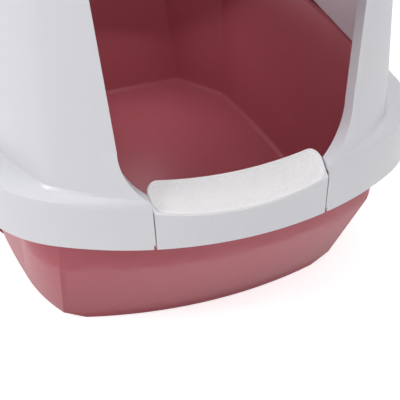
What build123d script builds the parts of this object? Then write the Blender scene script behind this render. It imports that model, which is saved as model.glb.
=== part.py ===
from build123d import *
import os
from dataclasses import dataclass
from functools import lru_cache
from math import atan, cos, degrees, hypot, radians, sin, sqrt, tan

# Hooded cat litter box whose pan pulls out to the front like a drawer.
# X runs to the right, Y to the back and Z up. The front faces -Y, and the origin is on the floor
# under the middle of the skirt. All sizes are in millimetres.

# ---- overall sizes ---------------------------------------------------------------------------
overall_length = 585.0
overall_width = 448.0
overall_height = 500.0

# ---- hood: flared skirt, shoulder and tall wall ------------------------------------------------
# A corner of an outline is given as its inset from the side and its setback from the nearer end.
hood_wall = 2.5
skirt_bottom = 155.0
skirt_top = 200.0
shoulder_top = 213.0
skirt_front_radius = 322.0
skirt_front_corner = 110.0
skirt_back_radius = 420.0
skirt_back_corner = 150.0
side_bow_radius = 40000.0
hood_front_radius = 251.0
hood_front_lead = 1.4
hood_crease_inset = 51.0
hood_side_front = (15.0, 221.5)
hood_side_back = (15.0, 165.0)
hood_back_crease = (62.0, 58.0)
hood_back_radius = 520.0
hood_draft = 1.0
roof_round = 38.0
roof_steps = 4
shoulder_bend = ((0.0, 0.0), (0.06, 0.3), (0.3, 0.56), (0.8, 0.78), (1.0, 1.0))
shell_split = 162.5
split_gap = 1.0
lip_reach = 8.0
lip_gap = 0.6
lip_wall = 1.8
lip_lift = 8.0

# ---- entrance ---------------------------------------------------------------------------------
seam_half_width = 88.5
seam_lean = 0.055
entrance_corner_radius = 65.0
entrance_half_width = 115.5
entrance_corner_height = 259.0
entrance_lean = 0.105
entrance_top = 452.0
entrance_top_radius = 42.0
entrance_top_rise = 6.0
flange_depth = 14.5
flange_wall = 2.5
flange_drop = 14.0

# ---- tub of the drawer ------------------------------------------------------------------------
foot_gap = 1.0
foot_height = 9.0
foot_side_back = (66.0, 124.5)
foot_back_corner = (104.0, 68.5)
sole_front_crease = (97.5, 122.5)
sole_side_front = (66.5, 200.0)
sole_radii = (418.0, 197.0, 969.0, 3000.0, 3000.0)
foot_front_crease = (75.0, 127.0)
foot_side_front = (55.5, 200.5)
foot_radii = (418.0, 197.0, 969.0, 3000.0, 3000.0)
belly_height = 110.0
belly_front_crease = (61.0, 75.0)
belly_side_front = (40.0, 142.5)
belly_side_back = (60.0, 104.5)
belly_back_corner = (115.0, 48.0)
belly_radii = (380.0, 83.0, 868.0, 3000.0, 3000.0)
rim_front_crease = (59.0, 59.5)
rim_side_front = (15.0, 182.5)
rim_side_back = (54.0, 85.5)
rim_back_corner = (126.0, 28.5)
rim_radii = (309.0, 227.0, 920.0, 3000.0, 3000.0)
tub_wall = 3.0
floor_underside = 14.0
floor_thickness = 3.0
floor_round = 9.0
floor_round_steps = 3
rim_height = 206.0
rolled_rim_width = 3.0
rolled_rim_height = 7.0
step_notch_height = 180.0
notch_gap = 2.7

# ---- front step and its pad ---------------------------------------------------------------------
seam_gap = 1.0
seam_notch_width = 2.0
seam_notch_height = 5.0
step_wall = 2.5
step_depth = 33.5
step_back_radius = 480.0
step_back_corner = 11.0
step_front_height = 187.5
step_slope = 0.63
step_face_depth = 12.0
step_back_skirt = 24.0
step_rib_thickness = 2.0
step_rib_spacing = 50.0
pad_thickness = 1.6
pad_front_inset = 0.5
pad_edge = 1.0
pad_front_corner = 15.0

# ---- base frame and slide rails -----------------------------------------------------------------
slide_gap = 2.0
base_wall = 3.0
base_front = 2.0
ledge_thickness = 3.7
seat_gap = 0.3
seat_width = 5.0
seat_height = 4.0
foot_strip_length = 46.0
foot_strip_setbacks = (90.0, 190.0)
rail_spacing = 170.0
rail_width = 18.0
rail_height = 12.0
rail_wall = 2.5
rail_front_setback = 142.5
rail_side_gap = 0.6
rail_end_length = 14.0
screw_diameter = 3.5
screw_head_diameter = 8.0
screw_head_height = 2.4
screw_length = 12.0
screw_height = 6.0
guide_rib_wall = 2.5
guide_rib_height = 10.0
stop_length = 6.0
stop_lug_height = 1.5
drawer_travel = 220.0
glide_diameter = 16.0
glide_rise = 3.0
glide_spread = 240.0
glide_front_setback = 170.0
glide_back_setback = 170.0

# ---- clips that hold the front panel on the tub ---------------------------------------------------
clip_width = 10.0
clip_height = 15.0
clip_gap = 0.2
front_clip_spread = 260.0
side_clip_setback = 145.0

# ---- carry handle in the roof -----------------------------------------------------------------
handle_pocket_width = 196.0
handle_pocket_length = 78.0
handle_pocket_depth = 24.0
handle_pocket_setback = 307.5
pocket_corner = 10.0
pocket_wall = 2.5
handle_side_gap = 1.0
handle_reach = 50.0
handle_arm = 13.0
handle_bar = 15.0
handle_thickness = 11.0
handle_corner = 16.0
handle_chamfer = 2.5
handle_axis_drop = 8.0
handle_axis_setback = 12.0
handle_boss_diameter = 11.0
pin_diameter = 5.0
pin_grip = 7.0
pin_gap = 0.1

# ---- filter under its hinged cover ---------------------------------------------------------------
cover_width = 136.0
cover_length = 100.0
cover_thickness = 3.0
cover_corner = 8.0
cover_gap = 0.8
cover_back_setback = 122.5
cover_barrel = 7.0
cover_notch = 9.0
hinge_groove_gap = 1.0
filter_tray_depth = 17.0
filter_ledge = 5.0
filter_height = 8.0
filter_side_gap = 0.3
vent_width = 4.0
vent_pitch = 10.0
vent_count = 9
vent_length = 78.0
air_slot_width = 8.0
air_slot_pitch = 20.0
air_slot_count = 5
air_slot_length = 64.0
small_pin_diameter = 3.5

# ---- side latches ---------------------------------------------------------------------------
latch_setback = 200.5
latch_width = 44.0
latch_thickness = 4.0
latch_stand_off = 1.0
latch_barrel = 8.0
latch_axis_height = 186.0
latch_hook_thickness = 3.4
latch_hook_reach = 14.0
latch_hook_gap = 0.3
latch_lip = 6.0
latch_ear_width = 6.0
latch_end_gap = 0.3
catch_thickness = 3.4
catch_cover = 6.0

# ---- values worked out from those above ---------------------------------------------------------
half_width = overall_width / 2
front_y = -overall_length / 2
back_y = overall_length / 2
split_y = front_y + shell_split
seat_height_from = skirt_top - 1.0
ledge_top = seat_height_from - seat_gap
floor_top = floor_underside + floor_thickness
notch_half_width = seam_half_width + notch_gap
big = 4 * overall_length


def crossing(centre_a, radius_a, centre_b, radius_b, near):
    """The point where two circles cross, or touch, that lies nearest to a given point."""
    dx, dy = centre_b[0] - centre_a[0], centre_b[1] - centre_a[1]
    distance = hypot(dx, dy)
    along = (distance**2 + radius_a**2 - radius_b**2) / (2 * distance)
    aside = sqrt(max(radius_a**2 - along**2, 0.0))
    ux, uy = dx / distance, dy / distance
    middle = (centre_a[0] + ux * along, centre_a[1] + uy * along)
    choices = [(middle[0] + side * aside * uy, middle[1] - side * aside * ux) for side in (1, -1)]
    return min(choices, key=lambda point: hypot(point[0] - near[0], point[1] - near[1]))


@dataclass(frozen=True)
class Plan:
    """A closed outline of arcs, symmetric about the Y axis.

    corners are its right-hand corners from front to back. radii are those of the arcs: across the
    front, from each corner to the next, and across the back.
    """

    corners: tuple
    radii: tuple

    def arcs(self, inset):
        """Start, centre, radius and end of each arc, moved inward by inset."""
        right = list(self.corners)
        loop = right + [(-x, y) for x, y in reversed(right)]
        radii = list(self.radii[1:]) + list(reversed(self.radii[1:-1])) + [self.radii[0]]
        centres = []
        for index, radius in enumerate(radii):
            (x0, y0), (x1, y1) = loop[index], loop[(index + 1) % len(loop)]
            chord = hypot(x1 - x0, y1 - y0)
            rise = sqrt(radius**2 - chord**2 / 4)
            centres.append(((x0 + x1) / 2 - (y1 - y0) / chord * rise,
                            (y0 + y1) / 2 + (x1 - x0) / chord * rise))
        joins = [crossing(centres[i - 1], radii[i - 1] - inset, centres[i], radii[i] - inset, loop[i])
                 for i in range(len(loop))]
        return [(joins[i], centres[i], radii[i] - inset, joins[(i + 1) % len(loop)])
                for i in range(len(loop))]

    def face(self, height, inset=0.0):
        """The flat face inside the outline at a height, moved inward by inset."""
        edges = []
        for start, centre, radius, end in self.arcs(inset):
            mx, my = (start[0] + end[0]) / 2 - centre[0], (start[1] + end[1]) / 2 - centre[1]
            scale = radius / hypot(mx, my)
            middle = (centre[0] + mx * scale, centre[1] + my * scale)
            edges.append(ThreePointArc(start, middle, end))
        return Pos(0, 0, height) * make_face(edges)

    def column(self, bottom, top, inset=0.0):
        """An upright solid inside the outline."""
        return extrude(self.face(bottom, inset), top - bottom)

    def between(self, other, share):
        """The outline that lies a share of the way from this one to another."""
        corners = tuple((x0 + (x1 - x0) * share, y0 + (y1 - y0) * share)
                        for (x0, y0), (x1, y1) in zip(self.corners, other.corners))
        radii = tuple(1 / ((1 - share) / r0 + share / r1) for r0, r1 in zip(self.radii, other.radii))
        return Plan(corners, radii)


def tangent_end(end_y, inward, radius, corner_radius):
    """Corners of an outline's end where a wide arc runs smoothly into a corner arc.

    Returns the join of the two arcs and the point where the corner meets the straight side.
    """
    corner_x = half_width - corner_radius
    drop = sqrt((radius - corner_radius)**2 - corner_x**2)
    scale = radius / (radius - corner_radius)
    join = (corner_x * scale, end_y + inward * (radius - drop * scale))
    return join, (half_width, end_y + inward * (radius - drop))


def from_front(corner):
    """The point of a front corner, given as inset and setback."""
    return half_width - corner[0], front_y + corner[1]


def from_back(corner):
    """The point of a back corner, given as inset and setback."""
    return half_width - corner[0], back_y - corner[1]


def radius_into_side(crease, side):
    """Radius of the arc from a crease to a side point that runs smoothly into the side."""
    dx, dy = side[0] - crease[0], side[1] - crease[1]
    return (dx**2 + dy**2) / (2 * dx)


# ---- outlines -----------------------------------------------------------------------------------
skirt_front = tangent_end(front_y, 1, skirt_front_radius, skirt_front_corner)
skirt_back = tangent_end(back_y, -1, skirt_back_radius, skirt_back_corner)
skirt_plan = Plan((*skirt_front, *reversed(skirt_back)),
                  (skirt_front_radius, skirt_front_corner, side_bow_radius, skirt_back_corner,
                   skirt_back_radius))

crease_x = half_width - hood_crease_inset
front_centre = front_y - hood_front_lead + hood_front_radius
front_crease = (crease_x, front_centre - sqrt(hood_front_radius**2 - crease_x**2))
side_front, side_back = from_front(hood_side_front), from_back(hood_side_back)
back_crease = from_back(hood_back_crease)
hood_plan = Plan((front_crease, side_front, side_back, back_crease),
                 (hood_front_radius, radius_into_side(front_crease, side_front), side_bow_radius,
                  radius_into_side(back_crease, side_back), hood_back_radius))

# The tub's front corners have a crease, and its back corners are flat facets. The sole is smaller
# than the foot at the front corners, which leaves them lifted off the ground.
foot_back_points = (from_back(foot_side_back), from_back(foot_back_corner))
sole_plan = Plan((from_front(sole_front_crease), from_front(sole_side_front), *foot_back_points),
                 sole_radii)
foot_plan = Plan((from_front(foot_front_crease), from_front(foot_side_front), *foot_back_points),
                 foot_radii)
belly_plan = Plan((from_front(belly_front_crease), from_front(belly_side_front),
                   from_back(belly_side_back), from_back(belly_back_corner)), belly_radii)
rim_plan = Plan((from_front(rim_front_crease), from_front(rim_side_front),
                 from_back(rim_side_back), from_back(rim_back_corner)), rim_radii)


def block(x_range, y_range, z_range):
    """A box between two values on each axis."""
    sizes = [high - low for low, high in (x_range, y_range, z_range)]
    centres = [(high + low) / 2 for low, high in (x_range, y_range, z_range)]
    return Pos(*centres) * Box(*sizes)


def x_rod(diameter, x_range, y, z):
    """A round rod along X."""
    low, high = x_range
    return Pos((low + high) / 2, y, z) * Rot(0, 90, 0) * Cylinder(diameter / 2, high - low)


def y_rod(diameter, x, y_range, z):
    """A round rod along Y."""
    low, high = y_range
    return Pos(x, (low + high) / 2, z) * Rot(90, 0, 0) * Cylinder(diameter / 2, high - low)


@lru_cache(maxsize=None)
def hood_solid(inset=0.0):
    """The hood as a filled solid, moved inward by inset, from its skirt to its roof."""
    drop = inset / hood_wall
    low, high = skirt_top - drop, shoulder_top - drop
    sections = [skirt_plan.face(skirt_bottom - drop, inset)]
    for share, climb in shoulder_bend:
        sections.append(skirt_plan.between(hood_plan, share).face(low + (high - low) * climb, inset))
    eaves = overall_height - roof_round
    lean = (eaves - shoulder_top) * tan(radians(hood_draft))
    curve = roof_round - inset
    for step in range(roof_steps + 1):
        turn = radians(90 * step / roof_steps)
        sections.append(hood_plan.face(eaves + curve * sin(turn), inset + lean + curve * (1 - cos(turn))))
    return loft(sections, ruled=True)


@lru_cache(maxsize=None)
def pan_form(inset=0.0):
    """The flared form of the tub as a filled solid, moved inward by inset."""
    return loft([sole_plan.face(foot_gap, inset), foot_plan.face(foot_gap + foot_height, inset),
                 belly_plan.face(belly_height, inset), rim_plan.face(rim_height, inset)], ruled=True)


def pan_solid(bottom, top, inset=0.0):
    """The flared form between two heights."""
    return pan_form(inset) & block((-big, big), (-big, big), (bottom, top))


def pan_hollow():
    """The space inside the tub, rounded where its floor meets its walls."""
    foot_top = foot_gap + foot_height
    sections = []
    for step in range(floor_round_steps + 1):
        turn = radians(90 * step / floor_round_steps)
        height = floor_top + floor_round * (1 - cos(turn))
        plan = foot_plan.between(belly_plan, (height - foot_top) / (belly_height - foot_top))
        sections.append(plan.face(height, tub_wall + floor_round * (1 - sin(turn))))
    sections += [belly_plan.face(belly_height, tub_wall), rim_plan.face(rim_height, tub_wall)]
    return loft(sections, ruled=True)


def glide_places():
    """Where the four glides sit under the tub."""
    return [(side * glide_spread / 2, y) for side in (-1, 1)
            for y in (front_y + glide_front_setback, back_y - glide_back_setback)]


def make_tub():
    """The pan: flared walls, a raised floor, a rolled rim and the notch for the step."""
    form = pan_form()
    hollow = pan_hollow()
    underside = pan_solid(0, floor_underside, tub_wall)
    rim = rim_plan.column(rim_height - rolled_rim_height, rim_height, -rolled_rim_width)
    tub = (form + rim) - hollow - underside
    tub -= block((-notch_half_width, notch_half_width), (-big, front_y + 2 * step_depth),
                 (step_notch_height, big))
    stop_y = front_y + rail_front_setback + stop_length + drawer_travel + seat_gap
    for side in (-1, 1):
        rail_x = side * rail_spacing / 2
        slot = rail_width / 2 + rail_side_gap
        ribs = block((rail_x - slot - guide_rib_wall, rail_x + slot + guide_rib_wall),
                     (front_y + rail_front_setback, big),
                     (floor_underside - guide_rib_height, floor_underside + 1))
        ribs -= block((rail_x - slot, rail_x + slot), (-big, big), (-big, floor_underside))
        ribs += block((rail_x - slot, rail_x + slot), (stop_y, stop_y + stop_length),
                      (rail_height + seat_gap, floor_underside + 1))
        tub += ribs & pan_form(1.0)
        tub -= block((rail_x - slot, rail_x + slot), (0, big), (-big, rail_height + seat_gap))
    for x, y in glide_places():
        boss = Pos(x, y, 0) * Cylinder(glide_diameter / 2, 2 * floor_underside + 1)
        tub += boss & block((-big, big), (-big, big), (foot_gap, big))
        socket = Cylinder(glide_diameter / 4, 2 * (foot_gap + glide_rise))
        tub -= Pos(x, y, 0) * socket
    return tub


def make_glides():
    """Four round glides, each with a peg in its boss under the tub."""
    glides = []
    for x, y in glide_places():
        disc = Pos(x, y, foot_gap / 2) * Cylinder(glide_diameter / 2, foot_gap)
        peg_height = foot_gap + glide_rise - seat_gap
        glides.append(disc + Pos(x, y, peg_height / 2) * Cylinder(glide_diameter / 4, peg_height))
    return Compound(glides)


def entrance_column(grow=0.0):
    """The entrance as a solid that cuts through the hood's front, larger by grow."""
    corner = entrance_corner_radius - grow
    side = entrance_half_width + grow
    centre_x, centre_z = side - corner, entrance_corner_height
    low_x = seam_half_width + grow
    low_z = centre_z - sqrt(corner**2 - (low_x - centre_x)**2)
    bend_x = (low_x + side) / 2
    bend_z = centre_z - sqrt(corner**2 - (bend_x - centre_x)**2)
    floor_z = skirt_bottom - hood_wall
    floor_x = low_x - (low_z - floor_z) * seam_lean
    top_radius = entrance_top_radius + grow
    eave = entrance_top + grow - top_radius
    eave_x = side + (eave - centre_z) * entrance_lean
    inner_x = eave_x - top_radius
    turn = top_radius * sin(radians(45))
    half = [Line((floor_x, floor_z), (low_x, low_z)),
            ThreePointArc((low_x, low_z), (bend_x, bend_z), (side, centre_z)),
            Line((side, centre_z), (eave_x, eave)),
            ThreePointArc((eave_x, eave), (inner_x + turn, eave + turn), (inner_x, eave + top_radius))]
    crown = ThreePointArc((inner_x, eave + top_radius), (0, eave + top_radius + entrance_top_rise),
                          (-inner_x, eave + top_radius))
    sill = Line((-floor_x, floor_z), (floor_x, floor_z))
    mirrored = [mirror(edge, about=Plane.YZ) for edge in half]
    outline = make_face([*half, crown, *mirrored, sill])
    reach = shell_split - 2 * flange_depth
    return Pos(0, front_y - flange_depth, 0) * Rot(90, 0, 0) * extrude(outline, -reach)


def make_front_panel():
    """The front of the hood with the entrance, its inward flange and the lip at its back edge."""
    opening = entrance_column()
    shell = hood_solid() - hood_solid(hood_wall)
    flange = (entrance_column(flange_wall) - opening) & (hood_solid() - hood_solid(flange_depth))
    flange &= block((-big, big), (-big, big), (shoulder_top - flange_drop, big))
    panel = (shell - opening) + flange
    panel &= block((-big, big), (-big, split_y - split_gap / 2), (-big, big))
    seam_foot = seam_half_width - seam_lean * (entrance_low_z() - skirt_bottom)
    notch = (-seam_foot - seam_notch_width, seam_foot + seam_notch_width)
    panel -= block(notch, (-big, 0), (-big, skirt_bottom + seam_notch_height))
    lip = hood_solid(hood_wall + lip_gap) - hood_solid(hood_wall + lip_gap + lip_wall)
    lip &= block((-big, big), (split_y - lip_reach, split_y + lip_reach),
                 (shoulder_top + lip_lift, big))
    bridge = hood_solid() - hood_solid(hood_wall + lip_gap + lip_wall)
    bridge &= block((-big, big), (split_y - lip_reach, split_y - lip_reach / 2),
                    (shoulder_top + lip_lift, big))
    return panel + lip + bridge


def make_clips():
    """Four clips between the tub's wall, its rolled rim and the skirt of the front panel."""
    top = rim_height - rolled_rim_height - clip_gap
    space = skirt_plan.column(top - clip_height, top, hood_wall + clip_gap)
    space -= pan_form(-clip_gap)
    clips = []
    for side in (-1, 1):
        x = side * front_clip_spread / 2
        clips.append(space & block((x - clip_width / 2, x + clip_width / 2), (-big, 0), (-big, big)))
        y = front_y + side_clip_setback
        x_range = (0, big) if side > 0 else (-big, 0)
        clips.append(space & block(x_range, (y - clip_width / 2, y + clip_width / 2), (-big, big)))
    return Compound([solid for clip in clips for solid in clip.solids()])


def above_ramp(offset):
    """Everything above the step's ramp, raised by offset square to it."""
    slope = Pos(0, front_y, step_front_height) * Rot(degrees(atan(step_slope)), 0, 0)
    return slope * block((-big, big), (-big, big), (offset, offset + 2 * big))


def seam_wedge(inset):
    """The space between the two leaning seams, moved inward by inset."""
    rise = big - skirt_bottom
    low = seam_half_width - seam_gap - inset - seam_lean * (entrance_low_z() - skirt_bottom)
    high = low + seam_lean * rise
    outline = Polygon((-low, skirt_bottom), (low, skirt_bottom), (high, big), (-high, big), align=None)
    return Rot(90, 0, 0) * extrude(outline, big, both=True)


def entrance_low_z():
    """Height at which the entrance's rounded corner meets the seam."""
    aside = seam_half_width - entrance_half_width + entrance_corner_radius
    return entrance_corner_height - sqrt(entrance_corner_radius**2 - aside**2)


def step_outline(front_inset, inset):
    """The step's outline, with rounded back corners, moved inward by inset at its sides and back."""
    back_circle = Pos(0, front_y + step_depth + step_back_radius) * Circle(step_back_radius + inset)
    outline = skirt_plan.face(0, front_inset) - back_circle
    half = seam_half_width - seam_gap - inset
    outline &= Pos(0, front_y) * Rectangle(2 * half, overall_length / 4)
    return fillet(outline.vertices().sort_by(Axis.Y)[-2:], step_back_corner - inset)


def ramp(inset):
    """The step as a filled solid whose faces, but for its open bottom, are moved in by inset."""
    bottom = skirt_bottom - (1.0 if inset else 0.0)
    solid = extrude(Pos(0, 0, bottom) * step_outline(inset, inset), rim_height + step_depth - bottom)
    return (solid & seam_wedge(inset)) - above_ramp(-inset)


def make_step():
    """The front step: a hollow ramp whose face carries on the skirt between the two seams."""
    back_edge = step_front_height + step_slope * step_depth - step_back_skirt
    shell = ramp(0.0) - ramp(step_wall)
    shell -= skirt_plan.column(0, back_edge, step_face_depth)
    for index in (-1, 0, 1):
        x = index * step_rib_spacing
        rib = block((x - step_rib_thickness / 2, x + step_rib_thickness / 2), (-big, 0),
                    (step_notch_height + seat_gap, big))
        shell += ramp(step_wall / 2) & rib
    return shell


def make_pad():
    """The pad that covers the ramp, with rounded corners."""
    outline = step_outline(pad_front_inset, pad_edge)
    outline = fillet(outline.vertices().sort_by(Axis.Y)[:2], pad_front_corner)
    column = extrude(outline, big)
    return (column & above_ramp(0.0)) - above_ramp(pad_thickness)


def foot_back(x, inset):
    """How far back the foot's back wall, moved inward by inset, lies at a distance x from the middle."""
    start, centre, radius, end = foot_plan.arcs(inset)[len(foot_plan.corners) - 1]
    return centre[1] + sqrt(radius**2 - (x - centre[0])**2)


def make_base_frame():
    """The frame round the back of the pan, with the ledge that carries the rear shell."""
    outer, inner = pan_form(-slide_gap - base_wall), pan_form(-slide_gap)
    frame = outer - inner
    frame &= block((-big, big), (base_front, big), (-big, ledge_top))
    ledge = skirt_plan.column(ledge_top - ledge_thickness, ledge_top, hood_wall + seat_gap)
    ledge &= block((-big, big), (base_front, big), (-big, big))
    frame += ledge - inner
    catch_top = skirt_bottom - latch_stand_off
    for side in (-1, 1):
        reach = catch_reach()
        x_range = (0, reach) if side > 0 else (-reach, 0)
        half = latch_width / 2
        shelf = block(x_range, (latch_y - half, latch_y + half), (catch_top - catch_thickness, catch_top))
        for end in (-1, 1):
            y_range = sorted((latch_y + end * half, latch_y + end * (half - catch_thickness)))
            shelf += block(x_range, y_range, (catch_top - catch_thickness, ledge_top - 1))
        frame += shelf - outer
    for x in (-rail_spacing / 2, rail_spacing / 2):
        frame -= y_rod(screw_diameter + 2 * pin_gap, x, (0, big), screw_height)
    return frame


def make_base_feet():
    """Rubber strips under the base frame's wall: two on each side and one at the back."""
    ring = foot_plan.column(0, foot_gap, -slide_gap - base_wall) - foot_plan.column(0, foot_gap, -slide_gap)
    half = foot_strip_length / 2
    strips = [ring & block((-half, half), (0, big), (-big, big))]
    for setback in foot_strip_setbacks:
        y = back_y - setback
        for x_range in ((-big, 0), (0, big)):
            strips.append(ring & block(x_range, (y - half, y + half), (-big, big)))
    return Compound([solid for strip in strips for solid in strip.solids()])


def make_rail(side):
    """A slide rail: a channel that lies open side down, with a stop lug at its front end."""
    x = side * rail_spacing / 2
    front = front_y + rail_front_setback
    half = rail_width / 2
    rail = block((x - half, x + half), (front, big), (0, rail_height))
    rail &= foot_plan.column(0, rail_height, -(slide_gap - seat_gap))
    end = foot_back(x, -(slide_gap - seat_gap)) - rail_end_length
    rail -= block((x - half + rail_wall, x + half - rail_wall), (front + rail_wall, end),
                  (-1, rail_height - rail_wall))
    rail += block((x - half, x + half), (front, front + stop_length),
                  (rail_height - 1, rail_height + stop_lug_height))
    return rail - y_rod(screw_diameter + 2 * pin_gap, x, (end, big), screw_height)


def make_rail_screws():
    """The two screws that fasten the rails to the base frame's back wall."""
    screws = []
    for x in (-rail_spacing / 2, rail_spacing / 2):
        seat = foot_back(x, -slide_gap - base_wall) + pin_gap
        head = y_rod(screw_head_diameter, x, (seat, seat + screw_head_height), screw_height)
        shank = y_rod(screw_diameter, x, (seat - screw_length, seat), screw_height)
        drive = y_rod(screw_diameter, x, (seat + screw_head_height / 2, big), screw_height)
        screws.append(head + shank - drive)
    return Compound(screws)


def roof_pocket(x_size, y_range, depth, corner, grow=0.0):
    """A pocket that opens in the roof, larger by grow on all sides but the top."""
    low, high = y_range
    outline = RectangleRounded(x_size + 2 * grow, high - low + 2 * grow, corner + grow)
    bottom = overall_height - depth - grow
    return extrude(Pos(0, (low + high) / 2, bottom) * outline, depth + grow + 1)


# ---- places in the roof and at the latches ------------------------------------------------------
pocket_y = front_y + handle_pocket_setback
handle_pocket = (pocket_y - handle_pocket_length / 2, pocket_y + handle_pocket_length / 2)
handle_axis_y = handle_pocket[1] - handle_axis_setback
handle_axis_z = overall_height - handle_axis_drop
cover_back = back_y - cover_back_setback
cover_front = cover_back - cover_length
cover_seat = (cover_front - cover_gap, cover_back + cover_gap)
cover_axis_y = cover_back + cover_gap + cover_barrel / 2
cover_axis_z = overall_height - cover_barrel / 2
hinge_groove = (cover_back - cover_corner, cover_axis_y + cover_barrel / 2 + hinge_groove_gap)
filter_well = (cover_front + filter_ledge, cover_back - filter_ledge)
filter_well_width = cover_width - 2 * filter_ledge
latch_y = back_y - latch_setback
latch_x = half_width + latch_stand_off + latch_barrel / 2


def catch_reach():
    """How far out the latch catches reach from the middle."""
    return half_width + latch_stand_off - latch_hook_reach + catch_cover


def roof_wells(grow):
    """The handle's pocket, the cover's seat, its hinge groove and the filter's well."""
    width = cover_width + 2 * cover_gap
    seat_depth = cover_thickness + seat_gap
    groove_depth = cover_barrel + hinge_groove_gap
    wells = roof_pocket(handle_pocket_width, handle_pocket, handle_pocket_depth, pocket_corner, grow)
    wells += roof_pocket(width, cover_seat, seat_depth, cover_corner, grow)
    wells += roof_pocket(width, hinge_groove, groove_depth, cover_gap, grow)
    return wells + roof_pocket(filter_well_width, filter_well, filter_tray_depth, cover_gap, grow)


def make_rear_shell():
    """The rest of the hood, with its roof wells, its seat on the base frame and the latch ears."""
    seat = skirt_plan.column(seat_height_from, seat_height_from + seat_height)
    seat -= skirt_plan.column(0, big, hood_wall + seat_width)
    seat &= block((-big, big), (base_front, big), (-big, big))
    pocket_half = handle_pocket_width / 2
    boss_reach = pocket_half + pin_grip
    bosses = x_rod(handle_boss_diameter, (-boss_reach, boss_reach), handle_axis_y, handle_axis_z)
    cavity = hood_solid(hood_wall) - seat - roof_wells(pocket_wall) - bosses
    shell = hood_solid() - cavity
    shell &= block((-big, big), (split_y + split_gap / 2, big), (-big, big))
    shell -= roof_wells(0.0)
    pin_reach = pocket_half + pin_grip
    shell -= x_rod(pin_diameter + 2 * pin_gap, (-pin_reach, pin_reach), handle_axis_y, handle_axis_z)
    hinge_reach = cover_width / 2 + cover_gap + pocket_wall
    shell -= x_rod(small_pin_diameter + 2 * pin_gap, (-hinge_reach, hinge_reach), cover_axis_y, cover_axis_z)
    well_middle = (filter_well[0] + filter_well[1]) / 2
    for index in range(air_slot_count):
        x = (index - (air_slot_count - 1) / 2) * air_slot_pitch
        slot = Rot(0, 0, 90) * SlotOverall(air_slot_length, air_slot_width)
        shell -= extrude(Pos(x, well_middle, overall_height - filter_tray_depth) * slot, -2 * pocket_wall)
    for side in (-1, 1):
        for end in (-1, 1):
            near = latch_y + end * (latch_width / 2 + latch_end_gap)
            y_range = sorted((near, near + end * latch_ear_width))
            x_range = sorted((side * (half_width - hood_wall / 2), side * latch_x))
            z_range = (latch_axis_height - latch_barrel / 2, latch_axis_height + latch_barrel / 2)
            ear = block(x_range, y_range, z_range)
            ear += y_rod(latch_barrel, side * latch_x, y_range, latch_axis_height)
            shell += ear
        shell -= y_rod(small_pin_diameter + 2 * pin_gap, side * latch_x, (0, big), latch_axis_height)
    return shell


def make_filter():
    """The filter pad that lies in its well."""
    length = filter_well[1] - filter_well[0] - 2 * filter_side_gap
    outline = RectangleRounded(filter_well_width - 2 * filter_side_gap, length, cover_gap)
    middle = (filter_well[0] + filter_well[1]) / 2
    return extrude(Pos(0, middle, overall_height - filter_tray_depth) * outline, filter_height)


def make_cover():
    """The vented cover over the filter, with its hinge barrel and a finger notch."""
    plate = RectangleRounded(cover_width, cover_length, cover_corner)
    middle = (cover_front + cover_back) / 2
    cover = extrude(Pos(0, middle, overall_height - cover_thickness) * plate, cover_thickness)
    cover += block((-cover_width / 2, cover_width / 2), (cover_back - 2 * cover_corner, cover_axis_y),
                   (overall_height - cover_thickness, overall_height))
    cover += x_rod(cover_barrel, (-cover_width / 2, cover_width / 2), cover_axis_y, cover_axis_z)
    for index in range(vent_count):
        x = (index - (vent_count - 1) / 2) * vent_pitch
        slot = Rot(0, 0, 90) * SlotOverall(vent_length, vent_width)
        cover -= extrude(Pos(x, middle, overall_height - 2 * cover_thickness) * slot, 3 * cover_thickness)
    cover -= Pos(0, cover_front, overall_height) * Cylinder(cover_notch, 3 * cover_thickness)
    return cover - x_rod(small_pin_diameter + 2 * pin_gap, (-big, big), cover_axis_y, cover_axis_z)


def make_cover_pin():
    """The long pin of the filter cover's hinge."""
    reach = cover_width / 2 + cover_gap + pocket_wall - pin_gap
    return x_rod(small_pin_diameter, (-reach, reach), cover_axis_y, cover_axis_z)


def make_handle():
    """The carry handle: a flat bail with a wide grip."""
    half = handle_pocket_width / 2 - handle_side_gap
    front = handle_axis_y - handle_reach - handle_bar / 2
    outer = Pos(0, (front + handle_axis_y) / 2) * Rectangle(2 * half, handle_axis_y - front)
    outer = fillet(outer.vertices().sort_by(Axis.Y)[:2], handle_corner)
    inner_front = front + handle_bar
    inner = Pos(0, (inner_front + handle_axis_y) / 2)
    inner *= Rectangle(2 * (half - handle_arm), handle_axis_y - inner_front)
    inner = fillet(inner.vertices().sort_by(Axis.Y)[:2], handle_corner / 2)
    bail = extrude(Pos(0, 0, handle_axis_z - handle_thickness / 2) * (outer - inner), handle_thickness)
    long_edges = bail.faces().filter_by(Axis.Z).edges().filter_by(
        lambda edge: edge.center().Y < handle_axis_y - 1)
    bail = chamfer(long_edges, handle_chamfer)
    for side in (-1, 1):
        x_range = sorted((side * (half - handle_arm), side * half))
        bail += x_rod(handle_thickness, x_range, handle_axis_y, handle_axis_z)
        bore = sorted((side * (half - pin_grip - pin_gap), side * big))
        bail -= x_rod(pin_diameter + 2 * pin_gap, bore, handle_axis_y, handle_axis_z)
    return bail


def make_handle_pin(side):
    """The stub pin at one end of the handle."""
    half = handle_pocket_width / 2
    x_range = sorted((side * (half - handle_side_gap - pin_grip), side * (half + pin_grip - pin_gap)))
    return x_rod(pin_diameter, x_range, handle_axis_y, handle_axis_z)


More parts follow.
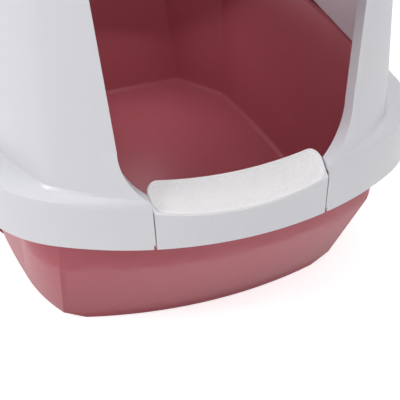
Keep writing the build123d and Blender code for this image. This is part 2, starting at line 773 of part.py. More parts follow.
def make_latch(side):
    """A side latch: a barrel, a plate that hangs over the skirt and a hook under the catch."""
    half = latch_width / 2
    y_range = (latch_y - half, latch_y + half)
    hook_top = skirt_bottom - latch_stand_off - catch_thickness - latch_hook_gap
    hook_bottom = hook_top - latch_hook_thickness
    inner = half_width + latch_stand_off
    outer = inner + latch_thickness
    plate = block(sorted((side * inner, side * outer)), y_range, (hook_bottom, latch_axis_height))
    hook = block(sorted((side * (inner - latch_hook_reach), side * outer)), y_range,
                 (hook_bottom, hook_top))
    lip = block(sorted((side * inner, side * (outer + latch_hook_thickness))), y_range,
                (hook_bottom - latch_lip, hook_bottom))
    barrel = y_rod(latch_barrel, side * latch_x, y_range, latch_axis_height)
    latch = plate + hook + lip + barrel
    return latch - y_rod(small_pin_diameter + 2 * pin_gap, side * latch_x, (0, big), latch_axis_height)


def make_latch_pin(side):
    """The pin of one latch, through its two ears."""
    half = latch_width / 2 + latch_end_gap + latch_ear_width
    return y_rod(small_pin_diameter, side * latch_x, (latch_y - half, latch_y + half), latch_axis_height)


parts = {
    "drawer_tub": make_tub(),
    "tub_glides": make_glides(),
    "front_step": make_step(),
    "step_pad": make_pad(),
    "front_panel": make_front_panel(),
    "panel_clips": make_clips(),
    "rear_shell": make_rear_shell(),
    "base_frame": make_base_frame(),
    "base_feet": make_base_feet(),
    "left_rail": make_rail(-1),
    "right_rail": make_rail(1),
    "rail_screws": make_rail_screws(),
    "carbon_filter": make_filter(),
    "filter_cover": make_cover(),
    "filter_cover_pin": make_cover_pin(),
    "carry_handle": make_handle(),
    "handle_pin_left": make_handle_pin(-1),
    "handle_pin_right": make_handle_pin(1),
    "left_latch": make_latch(-1),
    "right_latch": make_latch(1),
    "left_latch_pin": make_latch_pin(-1),
    "right_latch_pin": make_latch_pin(1),
}

os.makedirs("parts", exist_ok=True)
for name, part in parts.items():
    export_step(part, f"parts/{name}.step")
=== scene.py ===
import logging
from dataclasses import dataclass, field
from enum import Enum
from math import ceil, cos, radians, sin, sqrt
from typing import Any, Dict, List, Optional, Sequence, Tuple, Union

import bmesh
import bpy
from mathutils import Euler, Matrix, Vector
from mathutils.geometry import delaunay_2d_cdt


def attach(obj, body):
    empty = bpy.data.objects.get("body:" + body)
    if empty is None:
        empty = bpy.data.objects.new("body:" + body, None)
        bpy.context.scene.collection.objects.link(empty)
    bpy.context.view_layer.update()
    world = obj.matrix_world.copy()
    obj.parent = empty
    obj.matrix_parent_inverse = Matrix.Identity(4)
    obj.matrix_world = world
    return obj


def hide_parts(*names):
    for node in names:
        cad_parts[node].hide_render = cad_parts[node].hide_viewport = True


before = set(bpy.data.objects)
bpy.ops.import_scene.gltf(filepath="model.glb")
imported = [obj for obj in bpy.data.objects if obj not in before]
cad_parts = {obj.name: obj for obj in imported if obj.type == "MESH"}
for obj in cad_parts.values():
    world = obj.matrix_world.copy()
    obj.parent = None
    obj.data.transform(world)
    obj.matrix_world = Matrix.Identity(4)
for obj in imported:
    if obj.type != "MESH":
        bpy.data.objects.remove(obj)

log = logging.getLogger("litter_box")

Colour = Tuple[float, float, float]
Point = Tuple[float, float, float]
Band = Tuple[float, float]

MM = 0.001
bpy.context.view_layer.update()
PURE_WHITE: Colour = (1.0, 1.0, 1.0)

# Display values turn linear along a straight line up to the knee, and along a power curve above it.
DISPLAY_WHITE = 255
DISPLAY_KNEE = 0.04045
DISPLAY_SLOPE = 12.92
DISPLAY_LIFT = 0.055
DISPLAY_POWER = 2.4

# Bands of values. A noise that is mapped from a narrower band has more contrast.
FULL_BAND: Band = (0.0, 1.0)
WIDE_BAND: Band = (0.2, 0.8)
MIDDLE_BAND: Band = (0.25, 0.75)
NARROW_BAND: Band = (0.3, 0.7)


class Blend(Enum):
    """How a value or a colour is joined with another."""

    MIX = "MIX"
    ADD = "ADD"
    SUBTRACT = "SUBTRACT"
    MULTIPLY = "MULTIPLY"


class Body(Enum):
    """The bodies of the frame that pieces ride on."""

    DRAWER = "drawer"


def linear(value: int) -> float:
    """Turns one display value, 0 to 255, into a linear one, 0 to 1."""
    share = value / DISPLAY_WHITE
    if share <= DISPLAY_KNEE:
        return share / DISPLAY_SLOPE
    return ((share + DISPLAY_LIFT) / (1 + DISPLAY_LIFT)) ** DISPLAY_POWER


def from_screen(red: int, green: int, blue: int) -> Colour:
    """Turns a colour written in display values, 0 to 255, into the linear values of a shader."""
    return linear(red), linear(green), linear(blue)


def darker(colour: Colour, share: float) -> Colour:
    """A colour with each of its parts brought down to a share."""
    red, green, blue = colour
    return red * share, green * share, blue * share


def around(middle: float, spread: float) -> Band:
    """The band that reaches as far below a middle value as above it."""
    return middle - spread, middle + spread


# ---- shader expressions ---------------------------------------------------------------------------


class Shade:
    """A node's output, as a value that takes part in expressions.

    Numbers add Math nodes, vectors add Vector Math nodes, and colours add Mix nodes.
    """

    def __init__(self, graph: "Graph", socket: bpy.types.NodeSocket) -> None:
        """Wraps a socket of a graph."""
        self.graph = graph
        self.socket = socket

    @property
    def is_colour(self) -> bool:
        """True for a socket that holds a colour."""
        return self.socket.type == "RGBA"

    @property
    def is_vector(self) -> bool:
        """True for a socket that holds a vector."""
        return self.socket.type == "VECTOR"

    def _join(self, operation: Blend, other: "Value", swapped: bool = False) -> "Shade":
        """Adds the node that joins this value and another one.

        Args:
            operation: How the two are joined.
            other: The second value.
            swapped: True where other is the first value of the two.

        Returns:
            The result's socket.
        """
        first, second = (other, self) if swapped else (self, other)
        if self.is_colour or getattr(other, "is_colour", False):
            return self.graph.mix(first, second, 1.0, operation)
        vector = self.is_vector or getattr(other, "is_vector", False)
        kind = "ShaderNodeVectorMath" if vector else "ShaderNodeMath"
        return self.graph.node(kind, {"operation": operation.value}, {0: first, 1: second})

    def __add__(self, other: "Value") -> "Shade":
        """self + other"""
        return self._join(Blend.ADD, other)

    def __radd__(self, other: "Value") -> "Shade":
        """other + self"""
        return self._join(Blend.ADD, other, swapped=True)

    def __sub__(self, other: "Value") -> "Shade":
        """self - other"""
        return self._join(Blend.SUBTRACT, other)

    def __rsub__(self, other: "Value") -> "Shade":
        """other - self"""
        return self._join(Blend.SUBTRACT, other, swapped=True)

    def __mul__(self, other: "Value") -> "Shade":
        """self * other"""
        return self._join(Blend.MULTIPLY, other)

    def __rmul__(self, other: "Value") -> "Shade":
        """other * self"""
        return self._join(Blend.MULTIPLY, other, swapped=True)

    def remap(self, band: Band, result: Band = FULL_BAND) -> "Shade":
        """Maps a number from one band to another, clamped.

        Args:
            band: The values that become the two ends of the result.
            result: The two ends of the result.

        Returns:
            The mapped number.
        """
        return self.graph.node("ShaderNodeMapRange", {"clamp": True},
                               {"Value": self, "From Min": band[0], "From Max": band[1],
                                "To Min": result[0], "To Max": result[1]})


Value = Union[Shade, float, Sequence[float]]
Inputs = Dict[Union[int, str], Value]


class Graph:
    """The node tree of a material or of the world, built by expressions.

    The colour sockets of a Mix node are known by number, because its other sockets share their names.
    """

    MIX_FACTOR, MIX_FIRST, MIX_SECOND, MIX_RESULT = 0, 6, 7, 2

    def __init__(self, owner: Union[bpy.types.Material, bpy.types.World]) -> None:
        """Starts an empty tree.

        Args:
            owner: The material or world that the tree belongs to.
        """
        self.owner = owner
        owner.use_nodes = True
        self.tree = owner.node_tree
        self.tree.nodes.clear()

    @classmethod
    def of_material(cls, name: str) -> "Graph":
        """Starts a new material of that name."""
        return cls(bpy.data.materials.new(name))

    def add(self, kind: str, settings: Dict[str, Any], inputs: Inputs) -> bpy.types.Node:
        """Adds one node.

        Args:
            kind: The node's type.
            settings: Properties that are set before the sockets.
            inputs: The values or links of its input sockets.

        Returns:
            The node.
        """
        added = self.tree.nodes.new(kind)
        for name, value in settings.items():
            setattr(added, name, value)
        for key, value in inputs.items():
            self._feed(added.inputs[key], value)
        return added

    def _feed(self, socket: bpy.types.NodeSocket, value: Value) -> None:
        """Links an input socket, or sets its own value.

        Args:
            socket: The input socket.
            value: The output that it takes, a number, a vector or an opaque colour.
        """
        if isinstance(value, Shade):
            self.tree.links.new(value.socket, socket)
        elif socket.type == "RGBA":
            socket.default_value = [*value, 1.0]
        else:
            socket.default_value = value

    def node(self, kind: str, settings: Dict[str, Any], inputs: Inputs,
             output: Union[int, str] = 0) -> Shade:
        """Adds one node, and gives one of its outputs, ready for an expression."""
        return Shade(self, self.add(kind, settings, inputs).outputs[output])

    def mix(self, first: Value, second: Value, factor: Value, blend: Blend = Blend.MIX) -> Shade:
        """Mixes two colours.

        Args:
            first: The colour at factor 0.
            second: The colour at factor 1, or the one that is blended in.
            factor: How much of the second there is.
            blend: The kind of blend.

        Returns:
            The mixed colour.
        """
        sockets = {self.MIX_FACTOR: factor, self.MIX_FIRST: first, self.MIX_SECOND: second}
        return self.node("ShaderNodeMix", {"data_type": "RGBA", "blend_type": blend.value},
                         sockets, self.MIX_RESULT)

    def place(self) -> Shade:
        """Where a point lies on the object, in metres, whatever pose the object is in."""
        return self.node("ShaderNodeTexCoord", {}, {}, "Object")

    def grey(self, tone: Shade) -> Shade:
        """A vector with the same number three times, to scale a colour by."""
        return self.node("ShaderNodeCombineXYZ", {}, {"X": tone, "Y": tone, "Z": tone}, "Vector")

    def noise(self, per_metre: float, detail: float = 2.0, stretch: Point = (1, 1, 1)) -> Shade:
        """Soft noise from 0 to 1.

        Args:
            per_metre: How many grains there are in a metre.
            detail: How many finer layers are added.
            stretch: Scale along each axis, for drawn-out grains.

        Returns:
            The noise's value.
        """
        return self.node("ShaderNodeTexNoise", {},
                         {"Vector": self.place() * stretch, "Scale": per_metre, "Detail": detail})

    def bump(self, height: Shade, depth: float, strength: float, base: Optional[Shade] = None) -> Shade:
        """A bumped normal.

        Args:
            height: The height from 0 to 1.
            depth: How deep it is, in metres.
            strength: How much of it shows.
            base: The normal that it starts from.

        Returns:
            The new normal.
        """
        inputs: Inputs = {"Height": height, "Distance": depth, "Strength": strength}
        if base is not None:
            inputs["Normal"] = base
        return self.node("ShaderNodeBump", {}, inputs, "Normal")

    def seen(self) -> Shade:
        """Tells the rays that show a surface in the picture from those that only light the object.

        Returns:
            1 where a ray comes from the camera, straight or by a reflection or through glass, else 0.
        """
        straight, mirrored, through = (
            self.node("ShaderNodeLightPath", {}, {}, name)
            for name in ("Is Camera Ray", "Is Glossy Ray", "Is Transmission Ray"))
        return (straight + mirrored + through).remap(FULL_BAND)

    def end(self, surface: Shade) -> None:
        """Makes a shader the surface of the material or the world.

        Args:
            surface: The shader's output.
        """
        of_world = isinstance(self.owner, bpy.types.World)
        kind = "ShaderNodeOutputWorld" if of_world else "ShaderNodeOutputMaterial"
        self.add(kind, {}, {"Surface": surface})

    def finish(self, constants: Dict[str, Value], varying: Dict[str, Shade]) -> bpy.types.Material:
        """Adds the surface shader.

        Args:
            constants: Values that are the same all over, set on the shader's own sockets.
            varying: What changes over the surface.

        Returns:
            The finished material.
        """
        self.end(self.node("ShaderNodeBsdfPrincipled", {}, {**constants, **varying}))
        return self.owner


# ---- finishes -------------------------------------------------------------------------------------


@dataclass(frozen=True)
class MouldedPlastic:
    """Injection-moulded plastic with a fine spark-eroded grain and faint flow clouds.

    colour is that of the flat surface, and edge_highlight is the paler colour of a painted highlight on
    sharp edges. edge_highlight_share is how much of it shows on the sharpest edges, and highlight_from
    gives the pointiness at which that begins and is complete. clouds and specks say how much the tone
    changes from its middle.
    """

    name: str
    colour: Colour
    edge_highlight: Colour
    roughness: float = 0.40
    roughness_spread: float = 0.02
    specular: float = 0.4
    refraction: float = 1.46
    grain_size: float = 0.7 * MM
    grain_depth: float = 0.05 * MM
    grain_strength: float = 0.25
    edge_round: float = 0.7 * MM
    edge_samples: int = 6
    clouds: float = 0.02
    clouds_per_metre: float = 7.0
    specks: float = 0.008
    specks_per_metre: float = 260.0
    highlight_from: Band = (0.52, 0.60)
    edge_highlight_share: float = 0.35

    def build(self) -> bpy.types.Material:
        """Makes the material.

        Returns:
            The new material.
        """
        graph = Graph.of_material(self.name)
        cloud = graph.noise(self.clouds_per_metre, detail=3.0)
        speck = graph.noise(self.specks_per_metre)
        tone = cloud.remap(NARROW_BAND, around(1, self.clouds))
        tone = tone * speck.remap(MIDDLE_BAND, around(1, self.specks))
        # Painted highlight: the paler colour is mixed in on sharp convex edges, which are found by
        # pointiness.
        edge = graph.node("ShaderNodeNewGeometry", {}, {}, "Pointiness").remap(self.highlight_from)
        base = graph.mix(self.colour, self.edge_highlight, edge * self.edge_highlight_share)
        grain = graph.noise(1 / self.grain_size, detail=3.0)
        softened = graph.node("ShaderNodeBevel", {"samples": self.edge_samples},
                              {"Radius": self.edge_round}, "Normal")
        normal = graph.bump(grain, self.grain_depth, self.grain_strength, softened)
        rough = cloud.remap(WIDE_BAND, around(self.roughness, self.roughness_spread))
        return graph.finish({"IOR": self.refraction, "Specular IOR Level": self.specular},
                            {"Base Color": base * graph.grey(tone), "Roughness": rough, "Normal": normal})


@dataclass(frozen=True)
class Foam:
    """Open-cell foam, as in a carbon filter.

    wall_share is how far the walls between the cells reach, as a share of a cell's size. pit_shade_share
    is how much of the colour is left in the middle of a cell, where it is darkened as painted shade.
    """

    name: str
    colour: Colour
    roughness: float = 0.95
    specular: float = 0.1
    cell_size: float = 2.2 * MM
    cell_depth: float = 1.0 * MM
    cell_strength: float = 0.9
    wall_share: float = 0.25
    pit_shade_share: float = 0.35

    def build(self) -> bpy.types.Material:
        """Makes the material.

        Returns:
            The new material.
        """
        graph = Graph.of_material(self.name)
        cells = graph.node("ShaderNodeTexVoronoi", {"feature": "DISTANCE_TO_EDGE"},
                           {"Vector": graph.place(), "Scale": 1 / self.cell_size}, "Distance")
        wall = 1 - cells.remap((0.0, self.wall_share))
        # Painted shade: the colour is darkened towards the middle of each cell, in its hollow.
        colour = graph.mix(darker(self.colour, self.pit_shade_share), self.colour, wall)
        normal = graph.bump(wall, self.cell_depth, self.cell_strength)
        return graph.finish({"Roughness": self.roughness, "Specular IOR Level": self.specular},
                            {"Base Color": colour, "Normal": normal})


@dataclass(frozen=True)
class Rubber:
    """Soft matt rubber with a dusty surface.

    dust is what it adds to each part of the colour, and dusty_from gives the noise at which it begins
    and is complete.
    """

    name: str
    colour: Colour
    roughness: Band = (0.7, 0.85)
    specular: float = 0.3
    dust: float = 0.03
    dust_per_metre: float = 90.0
    dusty_from: Band = (0.5, 0.8)
    grains_per_metre: float = 900.0
    grain_depth: float = 0.08 * MM
    grain_strength: float = 0.6

    def build(self) -> bpy.types.Material:
        """Makes the material.

        Returns:
            The new material.
        """
        graph = Graph.of_material(self.name)
        dust = graph.noise(self.dust_per_metre, detail=4.0)
        dusty = tuple(part + self.dust for part in self.colour)
        colour = graph.mix(self.colour, dusty, dust.remap(self.dusty_from))
        grain = graph.noise(self.grains_per_metre)
        normal = graph.bump(grain, self.grain_depth, self.grain_strength)
        rough = dust.remap(WIDE_BAND, self.roughness)
        return graph.finish({"Specular IOR Level": self.specular},
                            {"Base Color": colour, "Roughness": rough, "Normal": normal})


@dataclass(frozen=True)
class TurnedSteel:
    """A steel pin or screw with fine drawing lines.

    stain_share is how much of the colour is left in a stain, and stained_from gives the noise at which
    one begins and is complete. line_stretch draws the lines out along X.
    """

    name: str
    colour: Colour
    roughness: Band = (0.25, 0.4)
    lines_per_metre: float = 1500.0
    line_stretch: Point = (0.04, 1, 1)
    line_depth: float = 0.03 * MM
    line_strength: float = 0.5
    stains_per_metre: float = 120.0
    stained_from: Band = (0.45, 0.8)
    stain_share: float = 0.7

    def build(self) -> bpy.types.Material:
        """Makes the material.

        Returns:
            The new material.
        """
        graph = Graph.of_material(self.name)
        lines = graph.noise(self.lines_per_metre, stretch=self.line_stretch)
        stains = graph.noise(self.stains_per_metre, detail=3.0).remap(self.stained_from)
        colour = graph.mix(self.colour, darker(self.colour, self.stain_share), stains)
        normal = graph.bump(lines, self.line_depth, self.line_strength)
        rough = lines.remap(WIDE_BAND, self.roughness)
        return graph.finish({"Metallic": 1.0},
                            {"Base Color": colour, "Roughness": rough, "Normal": normal})


ROSE = MouldedPlastic("rose_plastic", from_screen(188, 100, 110), from_screen(201, 128, 137),
                      roughness=0.34, specular=0.12)
WHITE = MouldedPlastic("white_plastic", from_screen(228, 228, 234), from_screen(240, 240, 244),
                       roughness=0.31, clouds=0.006, specular=0.65, grain_strength=0.12)
# Painted light: the pad's colour is paler than the white plastic's and stands in for the light on its
# upward-facing top.
PAINTED_LIT_PAD = MouldedPlastic("pad_plastic", from_screen(250, 248, 250), from_screen(252, 251, 252),
                     roughness=0.5, clouds=0.008, edge_round=0.1 * MM, grain_strength=0.1)
CLIP = MouldedPlastic("clip_plastic", from_screen(214, 215, 220), from_screen(228, 228, 232))
GLIDE = MouldedPlastic("glide_plastic", from_screen(64, 64, 68), from_screen(90, 90, 94), roughness=0.3)
RAIL = MouldedPlastic("rail_plastic", from_screen(150, 151, 155), from_screen(176, 177, 181))
FOAM = Foam("filter_foam", from_screen(62, 62, 64))
FOOT = Rubber("foot_rubber", from_screen(52, 52, 54))
STEEL = TurnedSteel("steel", from_screen(196, 198, 202))

Finish = Union[MouldedPlastic, Foam, Rubber, TurnedSteel]
Made = Dict[str, bpy.types.Material]


def made_of(finish: Finish, made: Made) -> bpy.types.Material:
    """The material of a finish, built the first time it is asked for.

    Args:
        finish: The finish.
        made: The materials made so far, by name.

    Returns:
        The finish's material.
    """
    if finish.name not in made:
        made[finish.name] = finish.build()
    return made[finish.name]


@dataclass(frozen=True)
class SmoothShading:
    """Even shading over a moulded form whose faces were meshed one by one.

    crease is the angle, in degrees, from which an edge stays sharp. join is how close two corners lie
    that are really one.
    """

    crease: float
    join: float = 0.02 * MM

    def apply(self, piece: bpy.types.Object) -> None:
        """Adds the modifiers that shade a piece.

        Args:
            piece: The piece.
        """
        weld = piece.modifiers.new("join_corners", "WELD")
        weld.merge_threshold = self.join
        split = piece.modifiers.new("keep_creases", "EDGE_SPLIT")
        split.split_angle = radians(self.crease)
        split.use_edge_sharp = False
        even = piece.modifiers.new("even_shading", "WEIGHTED_NORMAL")
        even.mode = "FACE_AREA"


CREASED_FORM = SmoothShading(crease=20.0)
SOFT_FORM = SmoothShading(crease=24.0)
SMALL_PART = SmoothShading(crease=30.0)


def dress(node: str, finish: Finish, shading: SmoothShading, made: Made) -> None:
    """Gives a CAD node its finish and its shading.

    Args:
        node: The node's name.
        finish: What it is made of.
        shading: How its edges are shaded.
        made: The materials made so far, by name.
    """
    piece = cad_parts[node]
    piece.data.materials.clear()
    piece.data.materials.append(made_of(finish, made))
    shading.apply(piece)
    log.info("dressed %s in %s", node, finish.name)


# ---- pieces built here ----------------------------------------------------------------------------


def add_object(name: str, data: bpy.types.ID) -> bpy.types.Object:
    """Puts a mesh, a light or a camera into the scene.

    Args:
        name: The new object's name.
        data: What it shows.

    Returns:
        The new object.
    """
    added = bpy.data.objects.new(name, data)
    bpy.context.scene.collection.objects.link(added)
    return added


def pairs_round(ring: Sequence[Any]) -> List[Tuple[Any, Any]]:
    """Each item of a closed ring with the one after it."""
    return list(zip(ring, [*ring[1:], ring[0]]))


@dataclass(frozen=True)
class PadShape:
    """The form of the step's pad, read from the frame's plain one.

    outline runs round its top. slope is the rise of the ramp along Y. thickness is measured upright.
    """

    outline: Tuple[Vector, ...]
    slope: float
    thickness: float

    @staticmethod
    def read(node: str) -> "PadShape":
        """Reads the shape of the pad from a CAD node, whose top is what is less steep than 60 degrees.

        Args:
            node: The node's name.

        Returns:
            The pad's shape.
        """
        steepest = cos(radians(60))
        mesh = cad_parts[node].data
        top = [face for face in mesh.polygons if face.normal.z > steepest]
        normal = sum((face.normal * face.area for face in top), Vector()).normalized()
        slope = -normal.y / normal.z
        levels = [corner.co.z - slope * corner.co.y for corner in mesh.vertices]
        edges = {edge for face in top for edge in pairs_round(list(face.vertices))}
        follows = dict(sorted((start, end) for start, end in edges if (end, start) not in edges))
        loop = [next(iter(follows))]
        while follows[loop[-1]] != loop[0]:
            loop.append(follows[loop[-1]])
        outline = tuple(mesh.vertices[index].co.copy() for index in loop)
        return PadShape(outline, slope, max(levels) - min(levels))

    def inset(self, distance: float, sink: float) -> List[Vector]:
        """The outline moved inward over the ramp and down.

        Args:
            distance: How far inward it moves.
            sink: How far down it moves.

        Returns:
            The moved corners.
        """
        moved = []
        count = len(self.outline)
        for index, point in enumerate(self.outline):
            along = self.outline[(index + 1) % count] - self.outline[index - 1]
            inward = Vector((-along.y, along.x)).normalized() * distance
            moved.append(Vector((point.x + inward.x, point.y + inward.y,
                                 point.z + inward.y * self.slope - sink)))
        return moved


@dataclass
class HatchedPad:
    """The pad on the step, with a plain rim and fine diagonal grooves between small pyramids.

    pitch is the distance along X from one groove to the next. edge_turn is the place on the rim's rounded
    edge where it turns, as a share of rim_edge. clearance is how far the pattern's corners stay from the
    rim's foot, as a share of half a pitch. same_point is how close two flat corners lie that are one.
    """

    replaced: str = "step_pad"
    pitch: float = 3.9 * MM
    groove_depth: float = 0.8 * MM
    rim_width: float = 1.9 * MM
    rim_edge: float = 0.55 * MM
    rim_foot: float = 0.3 * MM
    edge_turn: float = 0.3
    clearance: float = 0.3
    same_point: float = 1e-7

    def mesh(self) -> bpy.types.Object:
        """Builds the pad.

        Returns:
            The pad, riding on the drawer in place of the plain one.
        """
        shape = PadShape.read(self.replaced)
        builder = bmesh.new()
        rings = [[builder.verts.new(point) for point in shape.inset(*step)]
                 for step in self.profile(shape.thickness)]
        for low, high in zip(rings, rings[1:]):
            for index in range(len(low)):
                builder.faces.new((low[index - 1], low[index], high[index], high[index - 1]))
        builder.faces.new(list(reversed(rings[0])))
        self.fill(builder, shape, rings[-1])
        bmesh.ops.recalc_face_normals(builder, faces=builder.faces)
        data = bpy.data.meshes.new("hatched_pad")
        builder.to_mesh(data)
        builder.free()
        piece = add_object("hatched_pad", data)
        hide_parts(self.replaced)
        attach(piece, Body.DRAWER.value)
        log.info("built hatched_pad with %d faces", len(data.polygons))
        return piece

    def profile(self, thickness: float) -> List[Tuple[float, float]]:
        """The rim's section, from the underside over its edge to its foot.

        Args:
            thickness: The pad's thickness.

        Returns:
            How far inward and how far down each ring of corners lies.
        """
        turn = self.rim_edge * self.edge_turn
        return [(0.0, thickness), (0.0, self.rim_edge), (turn, turn), (self.rim_edge, 0.0),
                (self.rim_width, 0.0), (self.rim_width + self.rim_foot, self.groove_depth)]

    def spread(self, ring: List[Vector], slope: float) -> Tuple[List[Vector], Dict[Tuple[int, int], int]]:
        """Spreads the pattern's corners over the field inside the rim.

        Args:
            ring: The flat corners along the rim's foot.
            slope: The rise of the ramp along Y.

        Returns:
            The ring's corners with the pattern's after them, and each grid place's number among them.
        """
        half = self.pitch / 2
        row = half / sqrt(1 + slope ** 2)
        low = Vector((min(corner.x for corner in ring), min(corner.y for corner in ring)))
        high = Vector((max(corner.x for corner in ring), max(corner.y for corner in ring)))
        points, places = list(ring), {}
        for i in range(ceil((high.x - low.x) / half)):
            for j in range(ceil((high.y - low.y) / row)):
                point = Vector((low.x + i * half, low.y + j * row))
                if lies_inside(point, ring, self.clearance * half):
                    places[i, j] = len(points)
                    points.append(point)
        return points, places

    def fill(self, builder: bmesh.types.BMesh, shape: PadShape, border: List[bmesh.types.BMVert]) -> None:
        """Fills the field inside the rim with the grooves and pyramids.

        Every second corner of the pattern is a pyramid's peak, and the grooves join the others.

        Args:
            builder: The mesh that is being built.
            shape: The pad's form.
            border: The corners along the rim's foot.
        """
        ring = [Vector((corner.co.x, corner.co.y)) for corner in border]
        points, places = self.spread(ring, shape.slope)
        lines = [((index - 1) % len(ring), index) for index in range(len(ring))]
        for (i, j), index in places.items():
            if (i + j) % 2:
                lines += [(index, places[i + 1, j + side]) for side in (-1, 1)
                          if (i + 1, j + side) in places]
        flat, _, faces, origin, _, _ = delaunay_2d_cdt(points, lines, [], 1, self.same_point)
        level = border[0].co.z - shape.slope * border[0].co.y
        peaks = {places[key] for key in places if sum(key) % 2 == 0}
        corners = []
        for point, sources in zip(flat, origin):
            source = sources[0] if sources else None
            if source is not None and source < len(border):
                corners.append(border[source])
                continue
            lift = self.groove_depth if source in peaks else 0.0
            corners.append(builder.verts.new((point.x, point.y, level + shape.slope * point.y + lift)))
        for face in faces:
            builder.faces.new([corners[index] for index in face])


def lies_inside(point: Vector, ring: Sequence[Vector], margin: float) -> bool:
    """Tells whether a flat point lies well inside a closed ring.

    Args:
        point: The point.
        ring: The ring's corners.
        margin: How far from the ring's edge the point has to be.

    Returns:
        True where the point lies inside, and at least the margin from the edge.
    """
    inside = False
    for start, end in pairs_round(ring):
        edge = end - start
        share = max(0.0, min(1.0, (point - start).dot(edge) / edge.length_squared))
        if (start + edge * share - point).length < margin:
            return False
        if (start.y > point.y) != (end.y > point.y):
            if point.x < start.x + (point.y - start.y) / edge.y * edge.x:
                inside = not inside
    return inside


# ---- sub-assemblies -------------------------------------------------------------------------------


@dataclass
class Drawer:
    """The pan with its step, pad and the front of the hood, which all slide together."""

    pad: HatchedPad = field(default_factory=HatchedPad)

    def mesh(self) -> bpy.types.Object:
        """Builds the piece that the drawer adds to the frame."""
        return self.pad.mesh()

    def dress(self, made: Made) -> None:
        """Builds the pad, and gives each piece its finish.

        Args:
            made: The materials made so far, by name.
        """
        pad = self.mesh()
        pad.data.materials.append(made_of(PAINTED_LIT_PAD, made))
        dress("drawer_tub", ROSE, CREASED_FORM, made)
        dress("front_panel", WHITE, SOFT_FORM, made)
        dress("front_step", WHITE, SOFT_FORM, made)
        dress("panel_clips", CLIP, SMALL_PART, made)
        dress("tub_glides", GLIDE, SMALL_PART, made)


@dataclass
class Housing:
    """The rear shell on its base frame, with the rails, the filter and the hinge pins."""

    rails: Tuple[str, ...] = ("left_rail", "right_rail")
    pins: Tuple[str, ...] = ("rail_screws", "filter_cover_pin", "handle_pin_left", "handle_pin_right",
                             "left_latch_pin", "right_latch_pin")

    def dress(self, made: Made) -> None:
        """Gives each piece its finish.

        Args:
            made: The materials made so far, by name.
        """
        dress("rear_shell", WHITE, SOFT_FORM, made)
        dress("base_frame", ROSE, CREASED_FORM, made)
        dress("base_feet", FOOT, SMALL_PART, made)
        dress("carbon_filter", FOAM, SMALL_PART, made)
        for rail in self.rails:
            dress(rail, RAIL, SMALL_PART, made)
        for pin in self.pins:
            dress(pin, STEEL, SMALL_PART, made)


@dataclass
class HandsOn:
    """What the owner's hands move: the carry handle, the filter cover and the two latches."""

    latches: Tuple[str, ...] = ("left_latch", "right_latch")

    def dress(self, made: Made) -> None:
        """Gives each piece its finish.

        Args:
            made: The materials made so far, by name.
        """
        dress("carry_handle", ROSE, SOFT_FORM, made)
        dress("filter_cover", WHITE, SMALL_PART, made)
        for latch in self.latches:
            dress(latch, ROSE, SMALL_PART, made)


# ---- the studio -----------------------------------------------------------------------------------


def facing(direction: Vector) -> Euler:
    """How a light or a camera is turned when it looks in a direction, upright."""
    return direction.to_track_quat("-Z", "Y").to_euler()


@dataclass(frozen=True)
class Softbox:
    """A square studio light, with its size in metres and its power in watts."""

    name: str
    place: Point
    size: float
    power: float
    target: Point = (0.0, 0.0, 0.2)

    def hang(self) -> None:
        """Hangs the light in its place, facing its target."""
        light = bpy.data.lights.new(self.name, "AREA")
        light.shape = "SQUARE"
        light.size = self.size
        light.energy = self.power
        holder = add_object(self.name, light)
        holder.location = self.place
        holder.rotation_euler = facing(Vector(self.target) - Vector(self.place))
        holder.visible_camera = False


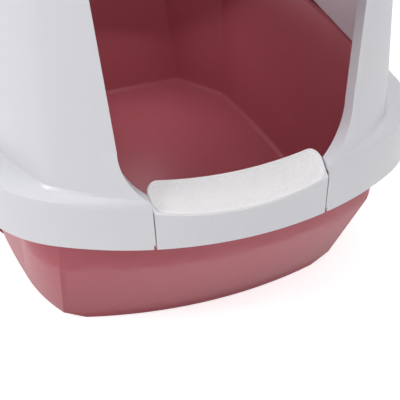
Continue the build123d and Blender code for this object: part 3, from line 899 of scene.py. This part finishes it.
@dataclass
class Studio:
    """A plain pale floor, soft light and the camera.

    camera_turn and camera_fall are in degrees, and lens and sensor in millimetres. floor_glow is the
    light that the floor adds where the camera sees it, and world_light is the light from all round.
    """

    camera_place: Point = (-0.4369, -1.3353, 0.989)
    camera_turn: float = 20.5
    camera_fall: float = 35.0
    camera_reach: float = 100.0
    lens: float = 135.0
    sensor: float = 36.0
    floor_reach: float = 30.0
    floor_tone: Band = (0.90, 0.93)
    floor_clouds_per_metre: float = 3.0
    floor_glow: float = 0.72
    world_light: float = 0.23
    boxes: Tuple[Softbox, ...] = (
        Softbox("overhead_light", (0.1, -0.5, 2.4), size=1.1, power=16.0),
        Softbox("top_light", (0.6, -1.35, 2.15), size=0.6, power=7.5),
        Softbox("left_light", (-2.3, -0.35, 1.6), size=0.9, power=26.0),
        Softbox("front_light", (0.5, -2.4, 0.4), size=1.0, power=5.0),
        Softbox("cabin_light", (0.06, -0.03, 0.40), size=0.14, power=0.215, target=(0.0, 0.1, 0.0)),
        Softbox("cabin_back_light", (0.055, 0.19, 0.165), size=0.06, power=0.09,
                target=(0.02, 0.03, 0.05)),
    )

    def build(self) -> None:
        """Sets up the whole studio."""
        bpy.context.scene.view_settings.view_transform = "Standard"
        self.place_camera()
        self.lay_floor()
        self.light_world()
        for box in self.boxes:
            box.hang()
        log.info("studio is ready")

    def place_camera(self) -> None:
        """Puts the camera where the photograph was taken from."""
        camera = bpy.data.cameras.new("camera")
        camera.lens = self.lens
        camera.sensor_width = self.sensor
        camera.clip_end = self.camera_reach
        holder = add_object("camera", camera)
        holder.location = self.camera_place
        turn, fall = radians(self.camera_turn), radians(self.camera_fall)
        holder.rotation_euler = facing(Vector((sin(turn) * cos(fall), cos(turn) * cos(fall), -sin(fall))))
        bpy.context.scene.camera = holder

    def pale_surface(self) -> bpy.types.Material:
        """A white floor that the camera sees as white, with a soft shadow of the object on it.

        Returns:
            The floor's material.
        """
        graph = Graph.of_material("floor_paint")
        tone = graph.noise(self.floor_clouds_per_metre).remap(NARROW_BAND, self.floor_tone)
        surface = graph.node("ShaderNodeBsdfDiffuse", {}, {"Color": graph.grey(tone)})
        glow = graph.node("ShaderNodeEmission", {}, {"Color": PURE_WHITE, "Strength": self.floor_glow})
        both = graph.node("ShaderNodeAddShader", {}, {0: surface, 1: glow})
        graph.end(graph.node("ShaderNodeMixShader", {}, {0: graph.seen(), 1: surface, 2: both}))
        return graph.owner

    def lay_floor(self) -> None:
        """Lays the floor."""
        reach = self.floor_reach
        corners = [(-reach, -reach, 0), (reach, -reach, 0), (reach, reach, 0), (-reach, reach, 0)]
        mesh = bpy.data.meshes.new("floor")
        mesh.from_pydata(corners, [], [range(len(corners))])
        floor = add_object("floor", mesh)
        mesh.materials.append(self.pale_surface())

    def light_world(self) -> None:
        """Gives an even light from all round, and shows the camera a white background."""
        world = bpy.data.worlds.new("studio")
        bpy.context.scene.world = world
        graph = Graph(world)
        strength = graph.seen().remap(FULL_BAND, (self.world_light, 1.0))
        graph.end(graph.node("ShaderNodeBackground", {}, {"Color": PURE_WHITE, "Strength": strength}))


def main() -> None:
    """Builds the studio and dresses the litter box."""
    logging.basicConfig(level=logging.INFO, format="%(name)s: %(message)s")
    Studio().build()
    made: Made = {}
    for assembly in (Drawer(), Housing(), HandsOn()):
        assembly.dress(made)


if __name__ == "__main__":
    main()
